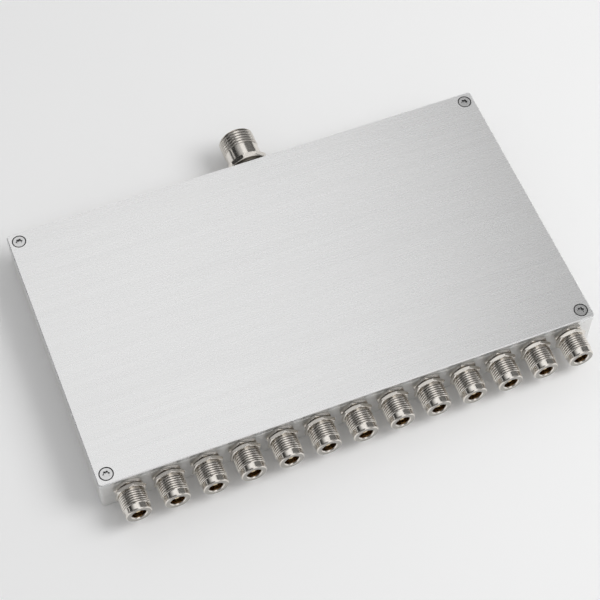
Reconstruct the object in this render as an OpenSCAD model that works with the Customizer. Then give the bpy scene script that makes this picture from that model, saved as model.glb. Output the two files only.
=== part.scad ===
// RF power splitter: a milled aluminium housing with a row of threaded coaxial
// jacks along its front wall, one larger jack on its back wall and a flat cover.
// Origin at the centre of the underside. +X along the row, -Y out of the row, +Z up.

/* [Housing] */
// Number of output jacks in the row
jack_count = 13; // [11:1:14]
// Distance from one output jack to the next
jack_pitch = 22; // [21:0.5:26]
// Distance from the last jack's axis to the end of the body
end_margin = 16; // [15:0.5:24]
// Depth of the body from front wall to back wall
body_w = 172; // [150:1:200]
// Height of the body with its cover
body_h = 25; // [23:0.5:32]
// Thickness of the cover plate
cover_t = 3.5; // [3:0.1:5]
// Thickness of the housing's walls
wall_t = 5; // [4:0.25:7]
// Thickness of the housing's floor
floor_t = 4; // [2.5:0.25:6]
// Outer radius of the body's upright corners
corner_r = 2; // [1.2:0.1:3]
// Radius left by the cutter in the pocket's corners
pocket_r = 4; // [2:0.5:6]
// Broken edge round the cover's top and the housing's underside
edge_break = 0.5; // [0.3:0.1:0.9]
// Broken edge round the housing's rim, along the seam under the cover
rim_break = 0.3; // [0.1:0.05:0.6]
// Height of the jacks' axes below the housing's rim
axis_drop = 7; // [6.7:0.1:7.5]

/* [Cover screws] */
// Inset of the cover screws from both outer faces
screw_inset = 6.2; // [5.5:0.1:8]
// Diameter of the screw shank
screw_d = 4; // [3:0.1:4.5]
// Diameter of the countersunk head
screw_head_d = 7.1; // [6.6:0.1:7.6]
// Height of the straight rim round the head
screw_rim_t = 0.9; // [0.5:0.1:1.1]
// Diameter of the counterbore round the head
sink_d = 8.3; // [7.9:0.1:9]
// Depth of that counterbore, above the cone that the head sits in
sink_t = 1; // [0.8:0.1:1.4]
// Length of the screw below its head
screw_l = 12; // [8:0.5:15]
// Radius of the corner posts that take the screws
post_r = 6; // [5:0.25:8]
// Reach of the recess in the head, across its lobes
recess_d = 4; // [3:0.1:4.4]
// Depth of the recess in the head
recess_t = 1.2; // [0.8:0.1:1.6]

/* [Output jacks] */
// Outer diameter of the coupling thread
out_thread_d = 15.875; // [15:0.125:17]
// Distance of the nose face from the front wall
out_nose_z = 18.1; // [17:0.1:22]
// Diameter of the plain nose
out_nose_d = 14.9; // [14:0.1:15]
// Length of the plain nose
out_nose_l = 3.8; // [3:0.1:5]
// Chamfer at the tip of the nose
out_nose_chamfer = 0.6; // [0.3:0.1:1]
// Width of the relief between hex and thread
out_relief_l = 1; // [0.6:0.1:2]
// Diameter of that relief
out_relief_d = 13.6; // [12.5:0.1:14.5]
// Width across flats of the hex on the shell
out_hex_af = 16.5; // [16:0.1:18]
// Thickness of the hex on the shell
out_hex_t = 2.4; // [1.8:0.1:3]
// Turn of the hex on the shell past a corner on top, in degrees
out_hex_turn = -10; // [-30:1:30]
// Gap between jam nut and hex
nut_gap = 0.5; // [0.3:0.1:1]
// Width across flats of the jam nut
nut_af = 16; // [15.5:0.1:17.5]
// Thickness of the jam nut
nut_t = 2.1; // [1.6:0.1:3]
// Turn of the jam nut past a flat on top, in degrees
nut_turn = -15; // [-30:1:30]
// Diameter of the shank in the wall
out_shank_d = 11; // [10:0.1:11.6]
// Diameter of the mating bore
out_bore_d = 8.1; // [8:0.1:9]
// Depth of the mating bore
out_bore_l = 9; // [8:0.1:10]
// Broken edge round the mouth of the mating bore
out_mouth_break = 0.6; // [0.3:0.1:1]
// Diameter of the insulator
out_insulator_d = 7; // [6:0.1:7.4]
// Diameter of the contact's socket end
out_contact_d = 3; // [2.6:0.1:3.4]
// Depth of the contact's tip behind the nose face
out_tip_recess = 2.2; // [1.5:0.1:4]

/* [Input jack] */
// Offset of the input jack from the body's middle
input_x = 3.5; // [-6:0.5:6]
// Outer diameter of the coupling thread
in_thread_d = 21.8; // [20:0.1:23]
// Distance of the nose face from the back wall
in_nose_z = 25.2; // [23:0.1:30]
// Diameter of the nose face
in_nose_d = 19.6; // [18:0.1:20]
// Length of the chamfer that runs up to the nose face
in_nose_l = 1.2; // [0.8:0.1:2]
// Length of the coupling thread
in_thread_l = 10; // [8:0.1:12]
// Diameter of the smooth barrel behind the thread
in_barrel_d = 21.2; // [19.5:0.1:21.6]
// Width across flats of the ten-sided wrench section
in_wrench_af = 25.6; // [23:0.1:26.6]
// Thickness of the wrench section
in_wrench_t = 3.2; // [2.6:0.1:5]
// Turn of the wrench section, in degrees
in_wrench_turn = 4; // [0:1:36]
// Outer diameter of the washer on the back wall
washer_d = 22; // [20:0.1:26]
// Thickness of that washer
washer_t = 1.2; // [1:0.1:2.5]
// Diameter of the shank in the wall
in_shank_d = 12; // [11:0.1:12.6]
// Diameter of the mating bore
in_bore_d = 13.4; // [12.5:0.1:15]
// Depth of the mating bore
in_bore_l = 12; // [11:0.1:14]
// Broken edge round the mouth of the mating bore
in_mouth_break = 0.6; // [0.3:0.1:1]
// Diameter of the insulator
in_insulator_d = 8; // [7:0.1:8.4]
// Diameter of the contact's socket end
in_contact_d = 4.1; // [3.6:0.1:5]
// Depth of the contact's tip behind the nose face
in_tip_recess = 5.5; // [5:0.1:7]

/* [Contacts] */
// Diameter of a contact where the insulator grips it
contact_neck_d = 2; // [1.6:0.1:2.4]
// Diameter of a contact's tail on the board
tail_d = 1.3; // [1:0.1:1.5]
// Reach of a contact's tail past the wall
tail_l = 5; // [3:0.5:7]
// Diameter of the hole in an output contact's tip
out_tip_hole_d = 1.65; // [1.2:0.05:2]
// Diameter of the hole in the input contact's tip
in_tip_hole_d = 2.2; // [1.6:0.1:2.8]
// Depth of the hole in a contact's tip
tip_hole_l = 4; // [2:0.5:5]
// Thickness of the lip that stops an insulator at its back
lip_t = 1; // [0.6:0.1:1.5]
// Width of that lip
lip_w = 0.6; // [0.4:0.1:1]

/* [Circuit] */
// Thickness of the board
board_t = 1.6; // [1:0.1:2.4]
// Thickness of the copper lines
trace_t = 0.2; // [0.1:0.05:0.4]
// Width of the copper lines
trace_w = 3; // [2:0.1:4]
// Outer radius of the ring at each junction
ring_r = 7; // [5.5:0.1:8]
// Width of the line in such a ring
ring_w = 1.6; // [1:0.1:2]
// Gap in the ring that the resistor bridges
ring_gap = 2; // [1.5:0.1:3]
// Setback of the first junction from the board's back edge
root_setback = 18; // [14:1:24]
// Length of the straight lines that lead to the output tails
leaf_l = 27; // [22:1:32]
// Width of an isolation resistor
resistor_w = 1.8; // [1.4:0.1:2.4]
// Height of an isolation resistor
resistor_t = 0.7; // [0.4:0.1:1]
// Reach of a resistor over the lines on either side of the gap
resistor_lap = 1.2; // [0.8:0.1:1.5]
// Inset of the board screws from the board's front and back edges
board_screw_inset = 14.5; // [12:0.5:17]
// Diameter of the board screws
board_screw_d = 3; // [2.5:0.1:3.5]
// Diameter of the board screws' heads
board_screw_head_d = 5.5; // [5:0.1:6.5]
// Height of the board screws' heads
board_screw_head_t = 2; // [1.4:0.1:2.4]
// Length of the board screws below the board
board_screw_l = 6; // [4:0.5:7]
// Diameter of the bosses under the board
boss_d = 8; // [6.5:0.5:10]

/* [Fits] */
// Clearance round a threaded or sliding fit, on each side
fit = 0.05; // [0.02:0.01:0.1]
// Clearance between a screw head and its countersink
head_fit = 0.02; // [0.01:0.01:0.05]
// Solder film between a tail and its line
solder_t = 0.05; // [0.02:0.01:0.1]
// Gap between the board and the pocket's walls
board_gap = 0.5; // [0.3:0.1:1]
// Clearance of a hole below the end of its screw
hole_spare = 1; // [0.5:0.5:1]
// Depth of the chamfer circle inside the flats of a nut
nut_face_cut = 0.25; // [0.1:0.05:0.5]

/* [Hidden] */
$fn = 64;
// Slope of the chamfer on a nut's corners
nut_chamfer_angle = 25;
// Overlap that keeps cuts clean
eps = 0.1;
hex_sides = 6;
wrench_sides = 10;
lobes = 6;
// Share of the recess's reach that its lobes and its core take
lobe_share = 0.26;
core_share = 0.78;

body_l = (jack_count - 1) * jack_pitch + 2 * end_margin;
tray_h = body_h - cover_t;
pocket_l = body_l - 2 * wall_t;
pocket_w = body_w - 2 * wall_t;
axis_z = tray_h - axis_drop;
post_x = body_l / 2 - screw_inset;
post_y = body_w / 2 - screw_inset;
// Depth of the cone under a screw head
head_depth = (screw_head_d - screw_d) / 2;
screw_seat_z = body_h - sink_t;
screw_rim_z = screw_seat_z + head_fit;
screw_neck_z = screw_rim_z - head_depth;

out_hex_z = nut_t + nut_gap;
out_relief_z = out_hex_z + out_hex_t;
out_thread_z = out_relief_z + out_relief_l;
out_thread_l = out_nose_z - out_nose_l - out_thread_z;
out_insulator_z = out_nose_z - out_bore_l;
in_barrel_z = washer_t + in_wrench_t;
in_thread_z = in_nose_z - in_nose_l - in_thread_l;
in_insulator_z = in_nose_z - in_bore_l;

trace_top = axis_z - tail_d / 2 - solder_t;
board_top = trace_top - trace_t;
board_z = board_top - board_t;
board_l = pocket_l - 2 * board_gap;
board_w = pocket_w - 2 * board_gap;
board_screw_y = board_w / 2 - board_screw_inset;
// Jacks after which a board screw stands, midway to the next jack and clear of the lines
inner_gap = floor(jack_count / 3);
board_screw_gaps = [1, inner_gap, jack_count - inner_gap, jack_count - 1];
root_y = board_w / 2 - root_setback;
leaf_y = leaf_l - board_w / 2;
levels = ceil(ln(jack_count) / ln(2));
level_step = (root_y - leaf_y - 2 * ring_r) / (levels - 1);
ring_mid_r = ring_r - ring_w / 2;

function two_digits(i) = str(i < 10 ? "0" : "", i);
function numbered(name) = [for (i = [1:jack_count]) str(name, "_", two_digits(i))];
function jack_x(i) = (i - (jack_count + 1) / 2) * jack_pitch;
function span_x(first, last) = (jack_x(first) + jack_x(last)) / 2;
function junction_y(level) = root_y - level * level_step;
function middle(first, last) = floor((first + last) / 2);
// Height on the board at which the lines below a junction meet the next ring
function branch_top(j) = j.y - level_step;

// Every two-way junction as [x, y, first jack, last jack], from the input down
function junctions(first, last, level, x) =
    first == last ? [] :
    let (m = middle(first, last))
    concat(
        [[x, junction_y(level), first, last]],
        junctions(first, m, level + 1, span_x(first, m)),
        junctions(m + 1, last, level + 1, span_x(m + 1, last))
    );

network = junctions(1, jack_count, 0, input_x);

// Rectangle with round corners
module rounded_rect(l, w, r) {
    square([l - 2 * r, w], center = true);
    square([l, w - 2 * r], center = true);
    for (x = [-1, 1], y = [-1, 1])
        translate([x * (l / 2 - r), y * (w / 2 - r)])
            circle(r);
}

// Section of a plate of width w and height h with one pair of edges broken
module plate_section(w, h, low, high) {
    polygon([
        [low - w / 2, 0], [w / 2 - low, 0], [w / 2, low], [w / 2, h - high],
        [w / 2 - high, h], [high - w / 2, h], [-w / 2, h - high], [-w / 2, low]
    ]);
}

// Rounded block whose bottom or top edge is broken all the way round
module broken_block(l, w, h, r, low, high) {
    rotate([90, 0, 90])
        linear_extrude(l - 2 * r, center = true)
            plate_section(w, h, low, high);
    rotate([90, 0, 0])
        linear_extrude(w - 2 * r, center = true)
            plate_section(l, h, low, high);
    for (x = [-1, 1], y = [-1, 1])
        translate([x * (l / 2 - r), y * (w / 2 - r), 0])
            rotate_extrude()
                intersection() {
                    plate_section(2 * r, h, low, high);
                    square([r, h]);
                }
}

// Prism with its corners turned down at both ends, as on a nut
module turned_prism(af, h, sides, turn) {
    corner = af / 2 / cos(180 / sides);
    blank = corner + eps;
    face = af / 2 - nut_face_cut;
    rise = (blank - face) * tan(nut_chamfer_angle);
    intersection() {
        rotate([0, 0, turn])
            cylinder(r = corner, h = h, $fn = sides);
        rotate_extrude()
            polygon([[0, 0], [face, 0], [blank, rise], [blank, h - rise], [face, h], [0, h]]);
    }
}

// Places a jack's own axis, Z outwards from the wall, on the front or the back wall
module on_front(x) {
    translate([x, -body_w / 2, axis_z])
        rotate([90, 0, 0])
            children();
}

module on_back(x) {
    translate([x, body_w / 2, axis_z])
        rotate([-90, 0, 0])
            children();
}

module at_posts() {
    for (x = [-1, 1], y = [-1, 1])
        translate([x * post_x, y * post_y, 0])
            children();
}

module at_board_screws() {
    for (i = board_screw_gaps, y = [-1, 1])
        translate([jack_x(i) + jack_pitch / 2, y * board_screw_y, 0])
            children();
}

// Bores of a jack's shell, from the nose to the lip at its back
module shell_bores(nose_z, bore_d, bore_l, mouth, insulator_d) {
    seat_z = lip_t - wall_t;
    translate([0, 0, nose_z - mouth])
        cylinder(d1 = bore_d, d2 = bore_d + 2 * (mouth + eps), h = mouth + eps);
    translate([0, 0, nose_z - bore_l])
        cylinder(d = bore_d, h = bore_l + eps);
    translate([0, 0, seat_z])
        cylinder(d = insulator_d + 2 * fit, h = nose_z - bore_l - seat_z + eps);
    translate([0, 0, -wall_t - eps])
        cylinder(d = insulator_d - 2 * lip_w, h = lip_t + 2 * eps);
}

// Bead from the lip to the floor of the mating bore, with a hole for the contact
module insulator_bead(d, front_z) {
    back_z = lip_t - wall_t;
    difference() {
        translate([0, 0, back_z])
            cylinder(d = d, h = front_z - back_z);
        translate([0, 0, back_z - eps])
            cylinder(d = contact_neck_d + 2 * fit, h = front_z - back_z + 2 * eps);
    }
}

// Socket end, neck in the insulator and tail on the board
module centre_contact(d, front_z, tip_z, hole_d) {
    back_z = lip_t - wall_t;
    difference() {
        translate([0, 0, front_z])
            cylinder(d = d, h = tip_z - front_z);
        translate([0, 0, tip_z - tip_hole_l])
            cylinder(d = hole_d, h = tip_hole_l + eps);
    }
    translate([0, 0, back_z])
        cylinder(d = contact_neck_d, h = front_z - back_z);
    translate([0, 0, -wall_t - tail_l])
        cylinder(d = tail_d, h = tail_l + lip_t);
}

module housing() {
    color("silver")
        difference() {
            union() {
                difference() {
                    broken_block(body_l, body_w, tray_h, corner_r, edge_break, rim_break);
                    translate([0, 0, floor_t])
                        linear_extrude(tray_h)
                            rounded_rect(pocket_l, pocket_w, pocket_r);
                }
                intersection() {
                    at_posts()
                        cylinder(r = post_r, h = tray_h);
                    broken_block(body_l, body_w, tray_h, corner_r, edge_break, rim_break);
                }
                at_board_screws()
                    cylinder(d = boss_d, h = board_z);
            }
            at_posts()
                translate([0, 0, screw_neck_z - screw_l - hole_spare])
                    cylinder(d = screw_d + 2 * fit, h = tray_h);
            at_board_screws()
                translate([0, 0, board_z - board_screw_l - hole_spare])
                    cylinder(d = board_screw_d + 2 * fit, h = board_z);
            for (i = [1:jack_count])
                on_front(jack_x(i))
                    translate([0, 0, -wall_t - post_r])
                        cylinder(d = out_shank_d + 2 * fit, h = wall_t + post_r + eps);
            on_back(input_x)
                translate([0, 0, -wall_t - eps])
                    cylinder(d = in_shank_d + 2 * fit, h = wall_t + 2 * eps);
        }
}

module cover_plate() {
    color("gainsboro")
        difference() {
            translate([0, 0, tray_h])
                broken_block(body_l, body_w, cover_t, corner_r, 0, edge_break);
            at_posts() {
                translate([0, 0, tray_h - eps])
                    cylinder(d = screw_d + 2 * fit, h = cover_t + 2 * eps);
                translate([0, 0, screw_seat_z])
                    cylinder(d = sink_d, h = sink_t + eps);
                translate([0, 0, screw_seat_z - head_depth])
                    cylinder(d1 = screw_d, d2 = screw_head_d, h = head_depth);
            }
        }
}

// Six-lobed recess, standing on z = 0
module lobed_recess() {
    lobe_r = recess_d * lobe_share / 2;
    linear_extrude(recess_t + eps) {
        circle(d = recess_d * core_share);
        for (k = [1:lobes])
            rotate(k * 360 / lobes)
                translate([recess_d / 2 - lobe_r, 0])
                    circle(lobe_r);
    }
}

module cover_screws() {
    color("lightgray")
        at_posts()
            difference() {
                union() {
                    translate([0, 0, screw_neck_z - screw_l])
                        cylinder(d = screw_d, h = screw_l);
                    translate([0, 0, screw_neck_z])
                        cylinder(d1 = screw_d, d2 = screw_head_d, h = head_depth);
                    translate([0, 0, screw_rim_z])
                        cylinder(d = screw_head_d, h = screw_rim_t);
                }
                translate([0, 0, screw_rim_z + screw_rim_t - recess_t])
                    lobed_recess();
            }
}

module output_shell(i) {
    color("darkgray")
        on_front(jack_x(i))
            difference() {
                union() {
                    translate([0, 0, -wall_t])
                        cylinder(d = out_shank_d, h = wall_t + out_hex_z);
                    translate([0, 0, out_hex_z])
                        turned_prism(out_hex_af, out_hex_t, hex_sides, 180 / hex_sides + out_hex_turn);
                    translate([0, 0, out_hex_z])
                        cylinder(d = out_relief_d, h = out_hex_t + out_relief_l);
                    translate([0, 0, out_thread_z])
                        cylinder(d = out_thread_d, h = out_thread_l);
                    translate([0, 0, out_thread_z + out_thread_l])
                        cylinder(d = out_nose_d, h = out_nose_l - out_nose_chamfer);
                    translate([0, 0, out_nose_z - out_nose_chamfer])
                        cylinder(
                            d1 = out_nose_d,
                            d2 = out_nose_d - 2 * out_nose_chamfer,
                            h = out_nose_chamfer
                        );
                }
                shell_bores(out_nose_z, out_bore_d, out_bore_l, out_mouth_break, out_insulator_d);
            }
}

module output_contact(i) {
    color("goldenrod")
        on_front(jack_x(i))
            centre_contact(out_contact_d, out_insulator_z, out_nose_z - out_tip_recess, out_tip_hole_d);
}

module output_insulator(i) {
    color("ivory")
        on_front(jack_x(i))
            insulator_bead(out_insulator_d, out_insulator_z);
}

module output_jam_nuts() {
    color("gray")
        for (i = [1:jack_count])
            on_front(jack_x(i))
                difference() {
                    turned_prism(nut_af, nut_t, hex_sides, nut_turn);
                    translate([0, 0, -eps])
                        cylinder(d = out_shank_d + 2 * fit, h = nut_t + 2 * eps);
                }
}

module input_shell() {
    color("darkgray")
        on_back(input_x)
            difference() {
                union() {
                    translate([0, 0, -wall_t])
                        cylinder(d = in_shank_d, h = wall_t + washer_t);
                    translate([0, 0, washer_t])
                        turned_prism(in_wrench_af, in_wrench_t, wrench_sides, in_wrench_turn);
                    translate([0, 0, in_barrel_z])
                        cylinder(d = in_barrel_d, h = in_thread_z - in_barrel_z);
                    translate([0, 0, in_thread_z])
                        cylinder(d = in_thread_d, h = in_thread_l);
                    translate([0, 0, in_nose_z - in_nose_l])
                        cylinder(d1 = in_thread_d, d2 = in_nose_d, h = in_nose_l);
                }
                shell_bores(in_nose_z, in_bore_d, in_bore_l, in_mouth_break, in_insulator_d);
            }
}

module input_contact() {
    color("goldenrod")
        on_back(input_x)
            centre_contact(in_contact_d, in_insulator_z, in_nose_z - in_tip_recess, in_tip_hole_d);
}

module input_insulator() {
    color("ivory")
        on_back(input_x)
            insulator_bead(in_insulator_d, in_insulator_z);
}

module input_washer() {
    color("gainsboro")
        on_back(input_x)
            difference() {
                cylinder(d = washer_d, h = washer_t);
                translate([0, 0, -eps])
                    cylinder(d = in_shank_d + 2 * fit, h = washer_t + 2 * eps);
            }
}

module circuit_board() {
    color("seagreen")
        difference() {
            translate([0, 0, board_z])
                linear_extrude(board_t)
                    square([board_l, board_w], center = true);
            at_posts()
                translate([0, 0, board_z - eps])
                    cylinder(r = post_r + board_gap, h = board_t + 2 * eps);
            at_board_screws()
                translate([0, 0, board_z - eps])
                    cylinder(d = board_screw_d + 2 * fit, h = board_t + 2 * eps);
        }
}

// Straight line of copper between two corners of its middle line
module line_between(a, b) {
    low = [min(a.x, b.x), min(a.y, b.y)] - [trace_w, trace_w] / 2;
    high = [max(a.x, b.x), max(a.y, b.y)] + [trace_w, trace_w] / 2;
    translate(low)
        square(high - low);
}

// Open ring below the incoming line, with an arm to each of its two branches
module junction_lines(j) {
    m = middle(j[2], j[3]);
    arm_y = j.y - 2 * ring_mid_r;
    difference() {
        translate([j.x, j.y - ring_mid_r])
            circle(ring_r);
        translate([j.x, j.y - ring_mid_r])
            circle(ring_r - ring_w);
        translate([j.x - ring_gap / 2, arm_y - ring_w])
            square([ring_gap, 2 * ring_w]);
    }
    for (side = [-1, 1]) {
        branch = side < 0 ? [j[2], m] : [m + 1, j[3]];
        branch_x = span_x(branch[0], branch[1]);
        arm_x = j.x + side * (ring_gap + trace_w) / 2;
        line_between([arm_x, arm_y], [branch_x, arm_y]);
        branch_end = branch[0] == branch[1] ? (trace_w - board_w) / 2 : branch_top(j);
        line_between([branch_x, arm_y], [branch_x, branch_end]);
    }
}

module splitter_traces() {
    color("peru")
        translate([0, 0, board_top])
            linear_extrude(trace_t) {
                line_between([input_x, root_y], [input_x, (board_w - trace_w) / 2]);
                for (j = network)
                    junction_lines(j);
            }
}

module isolation_resistors() {
    color("dimgray")
        for (j = network)
            translate([j.x, j.y - 2 * ring_mid_r, trace_top])
                linear_extrude(resistor_t)
                    square([ring_gap + 2 * resistor_lap, resistor_w], center = true);
}

module board_screws() {
    color("lightgray")
        at_board_screws() {
            translate([0, 0, board_z - board_screw_l])
                cylinder(d = board_screw_d, h = board_screw_l + board_t);
            translate([0, 0, board_top])
                cylinder(d = board_screw_head_d, h = board_screw_head_t);
        }
}

housing();
cover_plate();
cover_screws();
for (i = [1:jack_count]) {
    output_shell(i);
    output_contact(i);
    output_insulator(i);
}
output_jam_nuts();
input_shell();
input_contact();
input_insulator();
input_washer();
circuit_board();
splitter_traces();
isolation_resistors();
board_screws();
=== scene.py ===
import math

import bmesh
import bpy
from mathutils import Matrix, Vector


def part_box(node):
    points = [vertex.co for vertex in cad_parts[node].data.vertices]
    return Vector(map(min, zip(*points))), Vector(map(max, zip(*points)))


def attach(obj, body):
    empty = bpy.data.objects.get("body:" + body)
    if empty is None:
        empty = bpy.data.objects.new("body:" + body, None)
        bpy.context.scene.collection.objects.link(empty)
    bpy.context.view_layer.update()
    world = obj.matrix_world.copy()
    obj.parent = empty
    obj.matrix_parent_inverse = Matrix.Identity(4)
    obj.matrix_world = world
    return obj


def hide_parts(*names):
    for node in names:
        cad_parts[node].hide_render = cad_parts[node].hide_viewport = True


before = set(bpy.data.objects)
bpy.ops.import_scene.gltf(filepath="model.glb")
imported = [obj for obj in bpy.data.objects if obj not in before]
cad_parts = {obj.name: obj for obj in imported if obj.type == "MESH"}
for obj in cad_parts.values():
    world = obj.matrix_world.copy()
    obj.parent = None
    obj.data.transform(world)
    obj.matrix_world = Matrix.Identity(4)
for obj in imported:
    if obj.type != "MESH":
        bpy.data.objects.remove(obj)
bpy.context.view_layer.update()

# Units and the frame's own places
MM = 0.001
TURN = 2 * math.pi
BODY = "root"
HOUSING_LOW, HOUSING_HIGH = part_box("housing")
COVER_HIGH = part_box("cover_plate")[1]
FRONT_Y = HOUSING_LOW.y
BACK_Y = HOUSING_HIGH.y
TOP_Z = COVER_HIGH.z
SHELL_NAME = "output_shell_"
JACK_NUMBERS = sorted(
    node.removeprefix(SHELL_NAME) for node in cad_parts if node.startswith(SHELL_NAME)
)

# A jack's own axis runs along its local Z, outwards from the wall it stands on
FRONT_TURN = Matrix(((1, 0, 0, 0), (0, 0, -1, 0), (0, 1, 0, 0), (0, 0, 0, 1)))
BACK_TURN = Matrix(((1, 0, 0, 0), (0, 0, 1, 0), (0, -1, 0, 0), (0, 0, 0, 1)))

# Cover screws, in millimetres
SCREW_INSET = 6.2
SINK_R = 4.15
RECESS_R = 2.0
RECESS_DEPTH = 1.5
LIT_RIM = 0.15

# Rounds on edges, in millimetres, and the steps that make one
BODY_ROUND, BODY_ROUND_STEPS = 0.12, 3
SCREW_ROUND, SCREW_ROUND_STEPS = 0.06, 2
WASHER_ROUND, WASHER_ROUND_STEPS = 0.2, 2

# Both kinds of jack, in millimetres, with crest and root as shares of the thread's pitch
WALL = 5.0
LIP = 1.0
FACE_CUT = 0.25
NUT_SLOPE = math.tan(math.radians(25))
CREST_SHARE = 0.24
ROOT_SHARE = 0.14
RUN_OUT = 0.3
RUN_OUT_DROP = 0.35

# Output jack, distances from the front wall and radii, in millimetres
OUT_SHANK_R = 5.5
OUT_HEX = (2.6, 5.0)
OUT_HEX_FLATS = 16.5
OUT_HEX_SIDES = 6
OUT_HEX_ANGLE = math.radians(-10)
OUT_RELIEF_R = 6.8
OUT_THREAD = (6.0, 14.3)
OUT_THREAD_R = 7.9375
OUT_PITCH = 1.38
OUT_THREAD_DEPTH = 0.47
OUT_NOSE_R = 7.45
OUT_NOSE = 18.1
OUT_NOSE_CHAMFER = 0.6
OUT_BORE_R = 4.05
OUT_BORE_MOUTH = 0.6
OUT_SEAT = 9.1
OUT_INSULATOR_R = 3.55
OUT_LIP_R = 2.5
OUT_ROUND = 0.12
NUT_FLATS = 16.0
NUT_THICK = 2.1
NUT_BORE_R = 5.55
NUT_FLAT_ANGLE = math.radians(75)
NUT_ROUND = 0.1

# Input jack, distances from the back wall and radii, in millimetres
IN_WRENCH = (1.2, 4.4)
IN_WRENCH_FLATS = 25.6
IN_WRENCH_SIDES = 10
IN_WRENCH_ANGLE = math.radians(22)
IN_SHANK_R = 6.0
IN_BARREL_R = 10.6
IN_THREAD = (14.0, 24.0)
IN_THREAD_R = 10.9
IN_PITCH = 1.95
IN_THREAD_DEPTH = 0.7
IN_NOSE = 25.2
IN_NOSE_R = 9.8
IN_BORE_R = 6.7
IN_BORE_MOUTH = 0.6
IN_SEAT = 13.2
IN_INSULATOR_R = 4.05
IN_LIP_R = 3.0
IN_ROUND = 0.15

# Contacts, in millimetres
OUT_CONTACT_R = 1.5
OUT_TIP = 15.9
OUT_TIP_HOLE_R = 0.82
IN_CONTACT_R = 2.05
IN_TIP = 19.7
IN_TIP_HOLE_R = 1.1
TIP_HOLE_DEPTH = 4.0
NECK_R = 1.0
TAIL_R = 0.65
TAIL_REACH = 5.0
SLIT_ANGLE = math.radians(9)
LEAVES = 4
LEAF_LAP = 0.05

# Round of a contact's tip, as steps in from its radius and down from its end, and its sunk hole
TIP_ROUND = ((0, 0.2), (0.04, 0.06), (0.12, 0), (0.16, 0))
LEAD_IN = 0.32

# How finely round pieces are divided, and a thread at each of its turns
JACK_COLUMNS = 72
INPUT_COLUMNS = 120
CONTACT_COLUMNS = 40
TURN_SAMPLES = 12
FLAT_CUTS = 9
CORNER_STEPS = 2

# Edges turn hard past this angle, and between faces of which one is so many times the larger
SHARP_ANGLE = math.radians(32)
WIDE_FACE = 6

# Slack when points and faces are chosen, in millimetres
SLACK = 0.01
FACE_SLACK = 0.05
SIDE_SLACK = 0.1

# Shortest rise that is divided, in millimetres, and least room beside a round, in radii
LEAST_RISE = 0.2
ROUND_ROOM = 2.4

# Points so close are merged, in millimetres, and faces so nearly level are joined
SEAM_MERGE = 0.001
CAD_MERGE = 0.002
LEVEL_ANGLE = math.radians(0.5)

# Share of a normal along Z: more than this on a nose face, and less on a recess wall
FACING = 0.9
UPRIGHT = 0.6

# Grain of the finishes, as scales along X, Y and Z
BRUSH_FINE = (22, 2400, 1600)
BRUSH_BROAD = (7, 300, 260)
BRUSH_CLOUD = (10, 16, 12)
LATHE_RINGS = (40, 5200, 40)
PLATING_HAZE = (420, 420, 420)
SOFT_SPOTS = (300, 300, 300)
PAPER_CLOUD = (3, 3, 3)

# How metallic finishes are, of which the satin one partly scatters light, and how gloss varies
METAL = 1.0
SATIN_METAL = 0.74
GLOSS_SPREAD = 0.1


class Value:
    """A socket of a finish, on which arithmetic adds Math nodes."""

    def __init__(self, finish, socket):
        self.finish = finish
        self.socket = socket

    def math(self, operation, first, second):
        settings = {"operation": operation}
        return self.finish.node("ShaderNodeMath", settings, {0: first, 1: second})

    def __add__(self, other):
        return self.math("ADD", self, other)

    def __radd__(self, other):
        return self.math("ADD", other, self)

    def __sub__(self, other):
        return self.math("SUBTRACT", self, other)

    def __rsub__(self, other):
        return self.math("SUBTRACT", other, self)

    def __mul__(self, other):
        return self.math("MULTIPLY", self, other)

    def __rmul__(self, other):
        return self.math("MULTIPLY", other, self)


class Finish:
    """The nodes of a material or of the world."""

    def __init__(self, block, shader):
        self.block = block
        self.block.use_nodes = True
        self.tree = block.node_tree
        self.shader = self.tree.nodes[shader]

    def node(self, kind, settings=None, inputs=None, output=0):
        """Adds a node, with its settings first and then its sockets, and gives back one output."""
        made = self.tree.nodes.new(kind)
        for name, value in (settings or {}).items():
            setattr(made, name, value)
        for name, value in (inputs or {}).items():
            self.feed(made.inputs[name], value)
        return Value(self, made.outputs[output])

    def feed(self, socket, value):
        if isinstance(value, Value):
            self.tree.links.new(value.socket, socket)
        else:
            socket.default_value = value

    def set(self, **sockets):
        """Feeds the shader's sockets, named with _ for a space."""
        for name, value in sockets.items():
            self.feed(self.shader.inputs[name.replace("_", " ")], value)

    def grain(self, scale, detail=2.0):
        """Noise between 0 and 1, stretched along the axis whose scale is small."""
        place = self.node("ShaderNodeTexCoord", output="Object")
        spread = self.node("ShaderNodeMapping", None, {"Vector": place, "Scale": scale})
        inputs = {"Vector": spread, "Scale": 1.0, "Detail": detail}
        return self.node("ShaderNodeTexNoise", None, inputs)

    def mixed(self, factor, low, high):
        """Colour between two colours, each a Value or red, green and blue."""
        low, high = (c if isinstance(c, Value) else (*c, 1) for c in (low, high))
        settings = {"data_type": "RGBA", "clamp_factor": True}
        return self.node("ShaderNodeMix", settings, {0: factor, 6: low, 7: high}, 2)

    def bump(self, height, strength, distance):
        inputs = {"Height": height, "Strength": strength, "Distance": distance}
        self.set(Normal=self.node("ShaderNodeBump", None, inputs))


def material(name, **sockets):
    made = Finish(bpy.data.materials.new(name), "Principled BSDF")
    made.set(**sockets)
    return made


def stretched(value, gain):
    """Value between 0 and 1 with more contrast about its middle."""
    return gain * value - (gain - 1) / 2


def varied_gloss(rough, grain):
    return rough - GLOSS_SPREAD / 2 + GLOSS_SPREAD * grain


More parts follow.
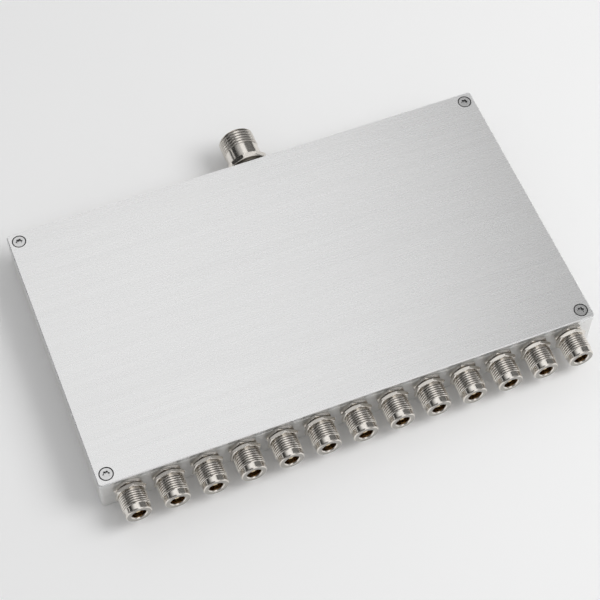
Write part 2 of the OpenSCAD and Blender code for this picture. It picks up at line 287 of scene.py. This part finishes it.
def brushed_aluminium(name, low, high, rough):
    """Satin aluminium brushed along X, with fine streaks over broad ones and soft clouds."""
    finish = material(name, Metallic=SATIN_METAL)
    fine = finish.grain(BRUSH_FINE)
    broad = finish.grain(BRUSH_BROAD, detail=3.0)
    cloud = finish.grain(BRUSH_CLOUD)
    tone = 0.45 * fine + 0.35 * broad + 0.2 * cloud
    finish.set(
        Base_Color=finish.mixed(stretched(tone, 2.2), low, high),
        Roughness=varied_gloss(rough, fine),
    )
    finish.bump(0.6 * fine + 0.4 * broad, strength=0.12, distance=0.08 * MM)
    return finish.block


def turned_nickel(name, low, high, groove, rough):
    """Plated metal with a lathe's faint rings across its axis, and painted shade deep in a
    thread's grooves.
    """
    finish = material(name, Metallic=METAL)
    rings = finish.grain(LATHE_RINGS)
    haze = finish.grain(PLATING_HAZE, detail=3.0)
    depth = finish.node("ShaderNodeAttribute", {"attribute_name": "groove"}, output="Fac")
    # Painted shade: towards a thread's roots the colour turns to the grooves' dark colour
    groove_shade = 2.4 * depth - 1.5
    plated = finish.mixed(stretched(haze, 1.6), low, high)
    finish.set(
        Base_Color=finish.mixed(groove_shade, plated, groove),
        Roughness=rough + 0.06 * rings + 0.05 * haze + 0.1 * depth,
    )
    finish.bump(rings, strength=0.05, distance=0.03 * MM)
    return finish.block


def plain_finish(name, low, high, rough, metallic=0.0):
    """Finish whose colour and gloss vary a little in soft spots."""
    finish = material(name, Metallic=metallic)
    spots = finish.grain(SOFT_SPOTS, detail=4.0)
    finish.set(
        Base_Color=finish.mixed(stretched(spots, 1.8), low, high),
        Roughness=varied_gloss(rough, spots),
    )
    finish.bump(spots, strength=0.05, distance=0.04 * MM)
    return finish.block


# Finishes: darkest and lightest colour, the colour of painted shade deep in turned ones' grooves,
# and roughness
COVER = brushed_aluminium("cover_brushed", (0.8, 0.8, 0.8), (0.88, 0.88, 0.88), 0.28)
TRAY = brushed_aluminium("tray_brushed", (0.76, 0.757, 0.745), (0.86, 0.857, 0.845), 0.33)
NICKEL = turned_nickel(
    "jack_nickel", (0.76, 0.72, 0.665), (0.86, 0.825, 0.775), (0.12, 0.1, 0.08), 0.12,
)
# Nose faces: nickel darkened as painted shade, in place of a dimmer reflection
NOSE_SHADE = plain_finish("nose_face_painted_shade", (0.37, 0.355, 0.33), (0.45, 0.432, 0.404), 0.25, METAL)
# Input washer: near-black painted shade for the gap between the wrench flats and the wall
WASHER_SHADE = plain_finish("washer_painted_shade", (0.16, 0.15, 0.13), (0.24, 0.225, 0.2), 0.45, METAL)
# Bores: darker brown nickel, painted shade inside the recess
BORE_SHADE = turned_nickel(
    "jack_bore_painted_shade", (0.42, 0.29, 0.16), (0.58, 0.41, 0.24), (0.1, 0.08, 0.05), 0.22,
)
GOLD = plain_finish("contact_gold", (0.88, 0.7, 0.42), (0.97, 0.82, 0.56), 0.16, METAL)
STEEL = plain_finish("screw_steel", (0.66, 0.66, 0.66), (0.78, 0.78, 0.78), 0.3, METAL)
# Near-black painted shade inside the screws' counterbores and on their recess walls
SCREW_SHADE = plain_finish("screw_painted_shade", (0.012, 0.012, 0.012), (0.03, 0.03, 0.03), 0.7)
INSULATOR = plain_finish("insulator_bead", (0.72, 0.69, 0.62), (0.82, 0.79, 0.72), 0.5)
BOARD = plain_finish("board_laminate", (0.03, 0.14, 0.06), (0.06, 0.22, 0.1), 0.45)
COPPER = plain_finish("trace_copper", (0.62, 0.33, 0.18), (0.8, 0.48, 0.3), 0.32, METAL)
RESISTOR = plain_finish("resistor_film", (0.015, 0.015, 0.017), (0.05, 0.05, 0.055), 0.5)


def wire(points, closed=True):
    """Edges through (radius, height) points in millimetres, in the XZ plane."""
    bm = bmesh.new()
    verts = [bm.verts.new((r * MM, 0, z * MM)) for r, z in points]
    following = verts[1:] + verts[:1] if closed else verts[1:]
    for a, b in zip(verts, following):
        bm.edges.new((a, b))
    return bm


def round_corners(bm, radius):
    """Rounds those corners of a wire that have room for it."""
    room = ROUND_ROOM * radius * MM
    roomy = [v for v in bm.verts if all(e.calc_length() > room for e in v.link_edges)]
    bmesh.ops.bevel(
        bm, geom=roomy, offset=radius * MM, offset_type="OFFSET", affect="VERTICES",
        segments=CORNER_STEPS, profile=0.5, material=-1,
    )


def between(low, height, high):
    return low - SLACK <= height <= high + SLACK


def divide(bm, low, high, least_r, cuts):
    """Divides the wire's edges that rise between two heights, outside a radius."""
    chosen = [
        e for e in bm.edges
        if all(between(low, v.co.z / MM, high) and v.co.x / MM >= least_r for v in e.verts)
        and abs(e.verts[0].co.z - e.verts[1].co.z) > LEAST_RISE * MM
    ]
    bmesh.ops.subdivide_edges(bm, edges=chosen, cuts=cuts)


def divide_flats(bm, low, high, flats):
    divide(bm, low, high, flats / 2 - FACE_CUT - SIDE_SLACK, FLAT_CUTS)


def divide_thread(bm, low, high, outer_r, pitch):
    turns = (high - low) / pitch
    divide(bm, low, high, outer_r - FACE_SLACK, round(turns * TURN_SAMPLES))


def spin_full(bm, columns):
    """Spins a wire once round Z and closes it."""
    bmesh.ops.spin(
        bm, geom=bm.verts[:] + bm.edges[:], cent=(0, 0, 0), axis=(0, 0, 1),
        angle=TURN, steps=columns, use_merge=True,
    )
    bmesh.ops.remove_doubles(bm, verts=bm.verts[:], dist=SEAM_MERGE * MM)
    bmesh.ops.recalc_face_normals(bm, faces=bm.faces[:])


def mill_flats(bm, low, high, flats, sides):
    """Brings a turned blank in to the flats of a prism, one flat facing along X."""
    half = math.pi / sides
    for v in bm.verts:
        if not between(low, v.co.z / MM, high):
            continue
        off = (math.atan2(v.co.y, v.co.x) + half) % (2 * half) - half
        limit = flats / 2 / math.cos(off) * MM
        reach = v.co.xy.length
        if reach > limit:
            v.co.xy *= limit / reach


def cut_thread(bm, low, high, outer_r, pitch, depth):
    """Cuts a right-handed thread into a turned blank and notes how deep each point lies."""
    groove = bm.verts.layers.float.new("groove")
    slope = 1 - CREST_SHARE - ROOT_SHARE
    least_r = outer_r - RUN_OUT_DROP - SLACK
    for v in bm.verts:
        height = v.co.z / MM
        reach = v.co.xy.length / MM
        if not between(low, height, high) or reach < least_r:
            continue
        part = (height / pitch - math.atan2(v.co.y, v.co.x) / TURN) % 1
        off_crest = 2 * min(part, 1 - part)
        cut = min(1, max(0, (off_crest - CREST_SHARE) / slope))
        v[groove] = cut
        v.co.xy *= min(1, (outer_r - depth * cut) / reach)


def shade(bm):
    """Smooth faces, with hard edges at angles and where a wide face meets its rounded edge."""
    for face in bm.faces:
        face.smooth = True
    for edge in bm.edges:
        sizes = [face.calc_area() for face in edge.link_faces]
        alike = len(sizes) == 2 and max(sizes) < WIDE_FACE * min(sizes)
        edge.smooth = alike and edge.calc_face_angle(0) < SHARP_ANGLE


def mesh_of(bm, name):
    shade(bm)
    mesh = bpy.data.meshes.new(name)
    bm.to_mesh(mesh)
    bm.free()
    return mesh


def place_object(name, mesh, finishes):
    made = bpy.data.objects.new(name, mesh)
    bpy.context.scene.collection.objects.link(made)
    for finish in finishes:
        mesh.materials.append(finish)
    return made


def piece(name, mesh, finishes, slot, *nodes):
    """Makes a mesh a piece of the object that stands for CAD nodes."""
    made = place_object(name, mesh, finishes)
    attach(made, BODY)
    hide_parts(*nodes)


def nut_blank(flats, sides, low, high):
    """Outer points of a prism's turned blank, with both ends sloped down at the corners."""
    corner = flats / 2 / math.cos(math.pi / sides)
    face = flats / 2 - FACE_CUT
    rise = (corner - face) * NUT_SLOPE
    return [(face, low), (corner, low + rise), (corner, high - rise), (face, high)]


def jack_place(node, turn, wall_y):
    low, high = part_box(node)
    middle = (low + high) / 2
    return Matrix.Translation((middle.x, wall_y, middle.z)) @ turn


def paint_shell(bm, bore_r, seat, nose):
    """Gives the inside of a shell's mating bore and its nose face their own darker finishes, both
    painted shade.
    """
    bm.normal_update()
    for face in bm.faces:
        middle = face.calc_center_median()
        height = middle.z / MM
        inward = face.normal.xy.dot(middle.xy) < 0
        in_bore = height > seat - FACE_SLACK and middle.xy.length / MM < bore_r + FACE_SLACK
        if inward and in_bore:
            face.material_index = 1
        elif face.normal.z > FACING and height > nose - SIDE_SLACK:
            face.material_index = 2


def turn_round(bm, angle):
    bmesh.ops.rotate(bm, verts=bm.verts[:], matrix=Matrix.Rotation(angle, 3, "Z"))


def output_shell_mesh():
    thread_low, thread_high = OUT_THREAD
    points = [
        (OUT_SHANK_R, -WALL), (OUT_SHANK_R, OUT_HEX[0]),
        *nut_blank(OUT_HEX_FLATS, OUT_HEX_SIDES, *OUT_HEX),
        (OUT_RELIEF_R, OUT_HEX[1]), (OUT_RELIEF_R, thread_low),
        (OUT_THREAD_R - RUN_OUT_DROP, thread_low), (OUT_THREAD_R, thread_low + RUN_OUT),
        (OUT_THREAD_R, thread_high - RUN_OUT), (OUT_NOSE_R, thread_high),
        (OUT_NOSE_R, OUT_NOSE - OUT_NOSE_CHAMFER), (OUT_NOSE_R - OUT_NOSE_CHAMFER, OUT_NOSE),
        (OUT_BORE_R + OUT_BORE_MOUTH, OUT_NOSE), (OUT_BORE_R, OUT_NOSE - OUT_BORE_MOUTH),
        (OUT_BORE_R, OUT_SEAT), (OUT_INSULATOR_R, OUT_SEAT),
        (OUT_INSULATOR_R, LIP - WALL), (OUT_LIP_R, LIP - WALL), (OUT_LIP_R, -WALL),
    ]
    bm = wire(points)
    round_corners(bm, OUT_ROUND)
    divide_flats(bm, *OUT_HEX, OUT_HEX_FLATS)
    divide_thread(bm, *OUT_THREAD, OUT_THREAD_R, OUT_PITCH)
    spin_full(bm, JACK_COLUMNS)
    mill_flats(bm, *OUT_HEX, OUT_HEX_FLATS, OUT_HEX_SIDES)
    cut_thread(bm, *OUT_THREAD, OUT_THREAD_R, OUT_PITCH, OUT_THREAD_DEPTH)
    turn_round(bm, OUT_HEX_ANGLE)
    paint_shell(bm, OUT_BORE_R, OUT_SEAT, OUT_NOSE)
    return mesh_of(bm, "output_shell")


def jam_nut_mesh():
    bm = wire([
        (NUT_BORE_R, 0),
        *nut_blank(NUT_FLATS, OUT_HEX_SIDES, 0, NUT_THICK),
        (NUT_BORE_R, NUT_THICK),
    ])
    round_corners(bm, NUT_ROUND)
    divide_flats(bm, 0, NUT_THICK, NUT_FLATS)
    spin_full(bm, JACK_COLUMNS)
    mill_flats(bm, 0, NUT_THICK, NUT_FLATS, OUT_HEX_SIDES)
    turn_round(bm, NUT_FLAT_ANGLE)
    return mesh_of(bm, "jam_nut")


def input_shell_mesh():
    thread_low, thread_high = IN_THREAD
    points = [
        (IN_SHANK_R, -WALL), (IN_SHANK_R, IN_WRENCH[0]),
        *nut_blank(IN_WRENCH_FLATS, IN_WRENCH_SIDES, *IN_WRENCH),
        (IN_BARREL_R, IN_WRENCH[1]), (IN_BARREL_R, thread_low - RUN_OUT),
        (IN_THREAD_R - RUN_OUT_DROP, thread_low), (IN_THREAD_R, thread_low + RUN_OUT),
        (IN_THREAD_R, thread_high), (IN_NOSE_R, IN_NOSE),
        (IN_BORE_R + IN_BORE_MOUTH, IN_NOSE), (IN_BORE_R, IN_NOSE - IN_BORE_MOUTH),
        (IN_BORE_R, IN_SEAT), (IN_INSULATOR_R, IN_SEAT),
        (IN_INSULATOR_R, LIP - WALL), (IN_LIP_R, LIP - WALL), (IN_LIP_R, -WALL),
    ]
    bm = wire(points)
    round_corners(bm, IN_ROUND)
    divide_flats(bm, *IN_WRENCH, IN_WRENCH_FLATS)
    divide_thread(bm, *IN_THREAD, IN_THREAD_R, IN_PITCH)
    spin_full(bm, INPUT_COLUMNS)
    mill_flats(bm, *IN_WRENCH, IN_WRENCH_FLATS, IN_WRENCH_SIDES)
    cut_thread(bm, *IN_THREAD, IN_THREAD_R, IN_PITCH, IN_THREAD_DEPTH)
    turn_round(bm, IN_WRENCH_ANGLE)
    paint_shell(bm, IN_BORE_R, IN_SEAT, IN_NOSE)
    return mesh_of(bm, "input_shell")


def contact_mesh(name, radius, hole_r, seat, tip):
    """Socket contact: a stem spun in one, and spring leaves between slits at its tip."""
    root = tip - TIP_HOLE_DEPTH
    bm = wire([
        (0, -WALL - TAIL_REACH), (TAIL_R, -WALL - TAIL_REACH), (TAIL_R, LIP - WALL),
        (NECK_R, LIP - WALL), (NECK_R, seat), (radius, seat), (radius, root), (0, root),
    ], closed=False)
    spin_full(bm, CONTACT_COLUMNS)
    leaf = [
        (hole_r, root - LEAF_LAP), (radius, root - LEAF_LAP),
        *((radius - inset, tip - drop) for inset, drop in TIP_ROUND),
        (hole_r, tip - LEAD_IN),
    ]
    sweep = TURN / LEAVES - SLIT_ANGLE
    for k in range(LEAVES):
        turn = Matrix.Rotation(k * TURN / LEAVES, 3, "Z")
        section = bm.faces.new(
            [bm.verts.new(turn @ Vector((r * MM, 0, z * MM))) for r, z in leaf]
        )
        bmesh.ops.spin(
            bm, geom=[section], cent=(0, 0, 0), axis=(0, 0, 1),
            angle=sweep, steps=CONTACT_COLUMNS // LEAVES, use_duplicate=False,
        )
    bmesh.ops.recalc_face_normals(bm, faces=bm.faces[:])
    return mesh_of(bm, name)


def softened_copy(node, width, segments):
    """Copy of a CAD node's mesh with its hard edges rounded."""
    bm = bmesh.new()
    bm.from_mesh(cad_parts[node].data)
    bmesh.ops.remove_doubles(bm, verts=bm.verts[:], dist=CAD_MERGE * MM)
    bmesh.ops.dissolve_limit(
        bm, angle_limit=LEVEL_ANGLE, verts=bm.verts[:], edges=bm.edges[:], delimit=set(),
    )
    hard = [
        e for e in bm.edges
        if len(e.link_faces) == 2 and e.calc_face_angle(0) > SHARP_ANGLE
    ]
    bmesh.ops.bevel(
        bm, geom=hard, offset=width * MM, offset_type="OFFSET", affect="EDGES",
        segments=segments, profile=0.5, material=-1, clamp_overlap=True,
    )
    bm.normal_update()
    return bm


def off_screw_axis(point):
    """Distance of a point from the axis of the cover screw in its corner."""
    corner = COVER_HIGH.xy - Vector((SCREW_INSET, SCREW_INSET)) * MM
    return (Vector((abs(point.x), abs(point.y))) - corner).length / MM


def darken_screw_gap(bm):
    """Gives the counterbores round the screw heads painted shade, below their lit rims."""
    for face in bm.faces:
        middle = face.calc_center_median()
        if off_screw_axis(middle) < SINK_R + FACE_SLACK and middle.z < TOP_Z - LIT_RIM * MM:
            face.material_index = 1


def darken_recess_walls(bm):
    """Gives the walls of the screws' lobed recesses, and not their floors, painted shade."""
    recess_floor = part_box("cover_screws")[1].z - RECESS_DEPTH * MM
    for face in bm.faces:
        middle = face.calc_center_median()
        upright = abs(face.normal.z) < UPRIGHT
        in_recess = off_screw_axis(middle) < RECESS_R + FACE_SLACK and middle.z > recess_floor
        if upright and in_recess:
            face.material_index = 1


# Body
cover = softened_copy("cover_plate", BODY_ROUND, BODY_ROUND_STEPS)
darken_screw_gap(cover)
piece("cover", mesh_of(cover, "cover"), [COVER, SCREW_SHADE], "cover", "cover_plate")
tray = softened_copy("housing", BODY_ROUND, BODY_ROUND_STEPS)
piece("tray", mesh_of(tray, "tray"), [TRAY], "housing", "housing")
screws = softened_copy("cover_screws", SCREW_ROUND, SCREW_ROUND_STEPS)
darken_recess_walls(screws)
piece("lid_screws", mesh_of(screws, "lid_screws"), [STEEL, SCREW_SHADE], "steel", "cover_screws")

# Output jacks
shell = output_shell_mesh()
contact = contact_mesh("output_contact", OUT_CONTACT_R, OUT_TIP_HOLE_R, OUT_SEAT, OUT_TIP)
jam_nut = jam_nut_mesh()
nuts = bmesh.new()
for number in JACK_NUMBERS:
    place = jack_place(f"output_shell_{number}", FRONT_TURN, FRONT_Y)
    own_shell, own_contact, own_nut = shell.copy(), contact.copy(), jam_nut.copy()
    for mesh in (own_shell, own_contact, own_nut):
        mesh.transform(place)
    piece(f"jack_{number}", own_shell, [NICKEL, BORE_SHADE, NOSE_SHADE], "nickel", f"output_shell_{number}")
    piece(f"jack_contact_{number}", own_contact, [GOLD], "gold", f"output_contact_{number}")
    nuts.from_mesh(own_nut)
piece("jam_nuts", mesh_of(nuts, "jam_nuts"), [NICKEL], "nickel", "output_jam_nuts")

# Input jack
place = jack_place("input_washer", BACK_TURN, BACK_Y)
input_shell = input_shell_mesh()
input_shell.transform(place)
piece("input_jack", input_shell, [NICKEL, BORE_SHADE, NOSE_SHADE], "nickel", "input_shell")
input_contact = contact_mesh("input_contact", IN_CONTACT_R, IN_TIP_HOLE_R, IN_SEAT, IN_TIP)
input_contact.transform(place)
piece("input_jack_contact", input_contact, [GOLD], "gold", "input_contact")
washer = softened_copy("input_washer", WASHER_ROUND, WASHER_ROUND_STEPS)
piece("input_ring", mesh_of(washer, "input_ring"), [WASHER_SHADE], "nickel", "input_washer")

# Nodes that keep their own mesh
KEPT = {
    "circuit_board": BOARD,
    "splitter_traces": COPPER,
    "isolation_resistors": RESISTOR,
    "board_screws": STEEL,
    "input_insulator": INSULATOR,
    **{f"output_insulator_{number}": INSULATOR for number in JACK_NUMBERS},
}
for name, finish in KEPT.items():
    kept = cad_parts[name].data
    kept.materials.clear()
    kept.materials.append(finish)

# Floor, a sheet of pale paper, in metres
FLOOR_HALF = 3.0
FLOOR_DROP = 0.2 * MM
PAPER_LOW = (0.93, 0.93, 0.93)
PAPER_HIGH = (0.95, 0.95, 0.95)
floor = bmesh.new()
bmesh.ops.create_grid(floor, x_segments=1, y_segments=1, size=FLOOR_HALF)
bmesh.ops.translate(floor, verts=floor.verts[:], vec=(0, 0, -FLOOR_DROP))
paper = material("floor_paper", Roughness=0.9)
paper.set(Base_Color=paper.mixed(paper.grain(PAPER_CLOUD), PAPER_LOW, PAPER_HIGH))
place_object("floor", mesh_of(floor, "floor"), [paper.block])

# Screens that only reflections show: azimuths, elevations, and tones at foot and top
SCREEN_DISTANCE = 2.5
SCREEN_STEPS = 24
SCREENS = {
    "screen_left_foot": ((-110, -25), (0, 13), (0.08, 0.05)),
    "screen_left_strip": ((-110, -25), (13, 18), (0.9, 0.9)),
    "screen_left": ((-110, -25), (18, 36), (0.03, 0.03)),
    "screen_left_top": ((-80, -4), (36, 62), (0.04, 1.0)),
    "screen_left_tall": ((-176, -80), (36, 78), (0.04, 0.2)),
    "screen_left_front": ((-180, -110), (0, 36), (0.2, 0.2)),
    "screen_back": ((10, 34), (24, 46), (0.05, 0.05)),
    "screen_right": ((34, 100), (0, 20), (0.08, 0.17)),
    "screen_right_middle": ((34, 100), (20, 55), (0.17, 0.17)),
    "screen_right_top": ((42, 82), (55, 70), (0.03, 0.03)),
    "screen_right_front": ((100, 154), (0, 55), (0.3, 0.5)),
}


def toward(elevation, azimuth):
    """Direction at an elevation, and at an azimuth that grows from the back to the right."""
    up, around = math.radians(elevation), math.radians(azimuth)
    level = math.cos(up)
    return Vector((math.sin(around) * level, math.cos(around) * level, math.sin(up)))


def screen(name, azimuths, elevations, tones):
    """Curved upright screen between azimuths and elevations in degrees, toned from foot to top."""
    bm = bmesh.new()
    start = SCREEN_DISTANCE * toward(0, azimuths[1])
    foot, top = (SCREEN_DISTANCE * math.tan(math.radians(e)) for e in elevations)
    bm.edges.new([bm.verts.new((start.x, start.y, z)) for z in (foot, top)])
    bmesh.ops.spin(
        bm, geom=bm.verts[:] + bm.edges[:], cent=(0, 0, 0), axis=(0, 0, 1),
        angle=math.radians(azimuths[1] - azimuths[0]), steps=SCREEN_STEPS,
    )
    cloth = material(
        name, Base_Color=(0, 0, 0, 1), Specular_IOR_Level=0.0, Emission_Strength=1.0,
    )
    place = cloth.node("ShaderNodeTexCoord", output="Object")
    height = cloth.node("ShaderNodeSeparateXYZ", None, {"Vector": place}, "Z")
    share = (height - foot) * (1 / (top - foot))
    cloth.set(Emission_Color=cloth.mixed(share, *([tone] * 3 for tone in tones)))
    made = place_object(name, mesh_of(bm, name), [cloth.block])
    made.visible_camera = False
    made.visible_diffuse = False
    made.visible_shadow = False


for name, (azimuths, elevations, tones) in SCREENS.items():
    screen(name, azimuths, elevations, tones)

# Key lamp, which reflections don't show, in metres, degrees and watts
KEY_DISTANCE = 1.8
KEY_ELEVATION = 48
KEY_AZIMUTH = 112
KEY_SIZE = 1.0
KEY_POWER = 16.0
lamp = bpy.data.lights.new("key", "AREA")
lamp.shape = "SQUARE"
lamp.size = KEY_SIZE
lamp.energy = KEY_POWER
key = bpy.data.objects.new("key", lamp)
key.location = KEY_DISTANCE * toward(KEY_ELEVATION, KEY_AZIMUTH)
key.rotation_mode = "QUATERNION"
key.rotation_quaternion = (-key.location).to_track_quat("-Z", "Y")
key.visible_glossy = False
bpy.context.scene.collection.objects.link(key)

# White surround for the camera, reflections and glass, dimmer for the light it gives
WORLD_LIGHT = 0.55
bpy.context.scene.world = bpy.data.worlds.new("studio")
studio = Finish(bpy.context.scene.world, "Background")
seen = sum(
    studio.node("ShaderNodeLightPath", output=ray)
    for ray in ("Is Camera Ray", "Is Glossy Ray", "Is Transmission Ray")
)
studio.set(Color=(1, 1, 1, 1), Strength=WORLD_LIGHT + (1 - WORLD_LIGHT) * seen)

# Camera, placed from the cover's middle by direction, roll, distance and offsets in metres
IMAGE_PIXELS = 600
FOCAL_PIXELS = 1750
SENSOR = 36
AZIMUTH = math.radians(-22.95)
ELEVATION = math.radians(58.6)
ROLL = math.radians(1.5)
DISTANCE = 1.0046
SIDE_OFFSET = -0.00157
RISE_OFFSET = 0.01412
back = Vector((
    math.sin(AZIMUTH) * math.cos(ELEVATION),
    -math.cos(AZIMUTH) * math.cos(ELEVATION),
    math.sin(ELEVATION),
))
level_side = Vector((0, 0, 1)).cross(back).normalized()
level_rise = back.cross(level_side)
side = math.cos(ROLL) * level_side + math.sin(ROLL) * level_rise
rise = math.cos(ROLL) * level_rise - math.sin(ROLL) * level_side
lens = bpy.data.cameras.new("camera")
lens.sensor_width = SENSOR
lens.lens = SENSOR * FOCAL_PIXELS / IMAGE_PIXELS
camera = bpy.data.objects.new("camera", lens)
bpy.context.scene.collection.objects.link(camera)
eye = Vector((0, 0, TOP_Z)) + DISTANCE * back - SIDE_OFFSET * side - RISE_OFFSET * rise
camera.matrix_world = Matrix.Translation(eye) @ Matrix((side, rise, back)).transposed().to_4x4()
bpy.context.scene.camera = camera

bpy.context.scene.view_settings.view_transform = "Standard"
